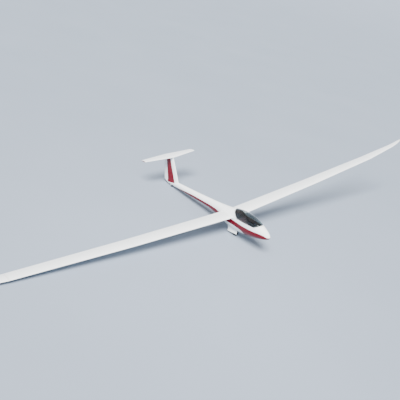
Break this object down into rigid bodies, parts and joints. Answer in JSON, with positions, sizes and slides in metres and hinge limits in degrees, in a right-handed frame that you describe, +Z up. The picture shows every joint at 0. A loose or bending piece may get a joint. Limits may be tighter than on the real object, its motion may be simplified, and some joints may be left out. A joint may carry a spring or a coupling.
{
  "type": "sailplane glider",
  "caption": "Long-winged single-seat sailplane with a clear canopy, T-tail, crimson side stripe and lowered main wheel, parked on one wing tip.",
  "frame": {"origin": "centre of the parked sailplane's box, on the floor it stands on", "axes": "+X towards the port wing tip, +Y towards the tail, +Z up; the aircraft itself is pitched nose up and banked onto its port tip skid"},
  "size_m": [26.2324, 7.4438, 3.7778],
  "materials": {
    "gelcoat": "polished white gelcoat with a crimson side stripe and fin band",
    "canopy_acrylic": "clear blown acrylic",
    "airbrake_alloy": "milled aluminium blade",
    "wheel_alloy": "cast and turned aluminium",
    "tyre": "black moulded rubber",
    "steel": "plated steel",
    "skid_plastic": "hard wearing polyurethane",
    "lining": "grey flecked laminate",
    "upholstery": "dark red-brown woven cloth",
    "black_laminate": "black textured laminate"
  },
  "bodies": {
    "airframe": {"back_cushion": "upholstery", "control_stick": "black_laminate", "fuselage_pod": "gelcoat", "gear_door_port": "gelcoat", "gear_door_starboard": "gelcoat", "gear_legs": "steel", "headrest": "upholstery", "instrument_console": "black_laminate", "instrument_panel": "black_laminate", "main_axle": "steel", "seat_cushion": "upholstery", "seat_shell": "lining", "side_ledge_port": "black_laminate", "side_ledge_starboard": "black_laminate", "tail_axle": "steel", "tail_boom": "gelcoat", "tailplane": "gelcoat", "tip_skid_port": "skid_plastic", "tip_skid_starboard": "skid_plastic", "tow_hook": "steel", "wing_inner_port": "gelcoat", "wing_inner_starboard": "gelcoat", "wing_outer_port": "gelcoat", "wing_outer_starboard": "gelcoat", "wing_tip_port": "gelcoat", "wing_tip_starboard": "gelcoat"},
    "main_wheel": {"main_wheel_tyre": "tyre", "main_wheel_hub": "wheel_alloy"},
    "tail_wheel": {"tail_wheel_tyre": "tyre", "tail_wheel_hub": "wheel_alloy"},
    "canopy": {"canopy_frame": "gelcoat", "canopy_glass": "canopy_acrylic"},
    "rudder": {"rudder": "gelcoat"},
    "elevator": {"elevator": "gelcoat"},
    "flap_port": {"flap_port": "gelcoat"},
    "flap_starboard": {"flap_starboard": "gelcoat"},
    "aileron_port": {"aileron_port": "gelcoat"},
    "aileron_starboard": {"aileron_starboard": "gelcoat"},
    "airbrake_port": {"airbrake_port": "airbrake_alloy"},
    "airbrake_starboard": {"airbrake_starboard": "airbrake_alloy"}
  },
  "joints": [
    {"name": "main_wheel_spin", "type": "hinge", "parent": "airframe", "child": "main_wheel", "pos_m": [0.25718, -1.78213, 0.19293], "axis": [0.9899, 0.0278, 0.1393], "continuous": true},
    {"name": "tail_wheel_spin", "type": "hinge", "parent": "airframe", "child": "tail_wheel", "pos_m": [0.13859, 2.95931, 0.08904], "axis": [0.9899, 0.0278, 0.1393], "continuous": true},
    {"name": "canopy_hinge", "type": "hinge", "parent": "airframe", "child": "canopy", "pos_m": [-0.13016, -2.88964, 1.0812], "axis": [0.064, -0.9915, 0.1133], "range_deg": [0, 80]},
    {"name": "rudder_hinge", "type": "hinge", "parent": "airframe", "child": "rudder", "pos_m": [0.12651, 3.20133, 0.12652], "axis": [-0.1417, 0.2615, 0.9547], "range_deg": [-30, 30]},
    {"name": "elevator_hinge", "type": "hinge", "parent": "airframe", "child": "elevator", "pos_m": [-0.07517, 3.51578, 1.49708], "axis": [0.9899, 0.0278, 0.1393], "range_deg": [-22, 22]},
    {"name": "flap_port_hinge", "type": "hinge", "parent": "airframe", "child": "flap_port", "pos_m": [0.5624, -1.13151, 0.94521], "axis": [0.9808, 0.0194, 0.1941], "range_deg": [-16, 8]},
    {"name": "flap_starboard_hinge", "type": "hinge", "parent": "airframe", "child": "flap_starboard", "pos_m": [-0.27898, -1.15515, 0.82682], "axis": [0.9958, 0.0361, 0.084], "range_deg": [-16, 8]},
    {"name": "aileron_port_hinge", "type": "hinge", "parent": "airframe", "child": "aileron_port", "pos_m": [5.3758, -1.03636, 1.8983], "axis": [0.978, 0.0178, 0.2078], "range_deg": [-20, 20]},
    {"name": "aileron_starboard_hinge", "type": "hinge", "parent": "airframe", "child": "aileron_starboard", "pos_m": [-5.16623, -1.33254, 0.41496], "axis": [0.9968, 0.0377, 0.0701], "range_deg": [-20, 20]},
    {"name": "airbrake_port_slide", "type": "slide", "parent": "airframe", "child": "airbrake_port", "axis": [-0.1945, 0.1921, 0.9619], "range_m": [0, 0.055]},
    {"name": "airbrake_starboard_slide", "type": "slide", "parent": "airframe", "child": "airbrake_starboard", "axis": [-0.0892, 0.195, 0.9767], "range_m": [0, 0.055]}
  ],
  "couplings": [
    {"joint": "flap_starboard_hinge", "follows": "flap_port_hinge", "ratio": 1},
    {"joint": "aileron_starboard_hinge", "follows": "aileron_port_hinge", "ratio": -1},
    {"joint": "airbrake_starboard_slide", "follows": "airbrake_port_slide", "ratio": 1}
  ]
}
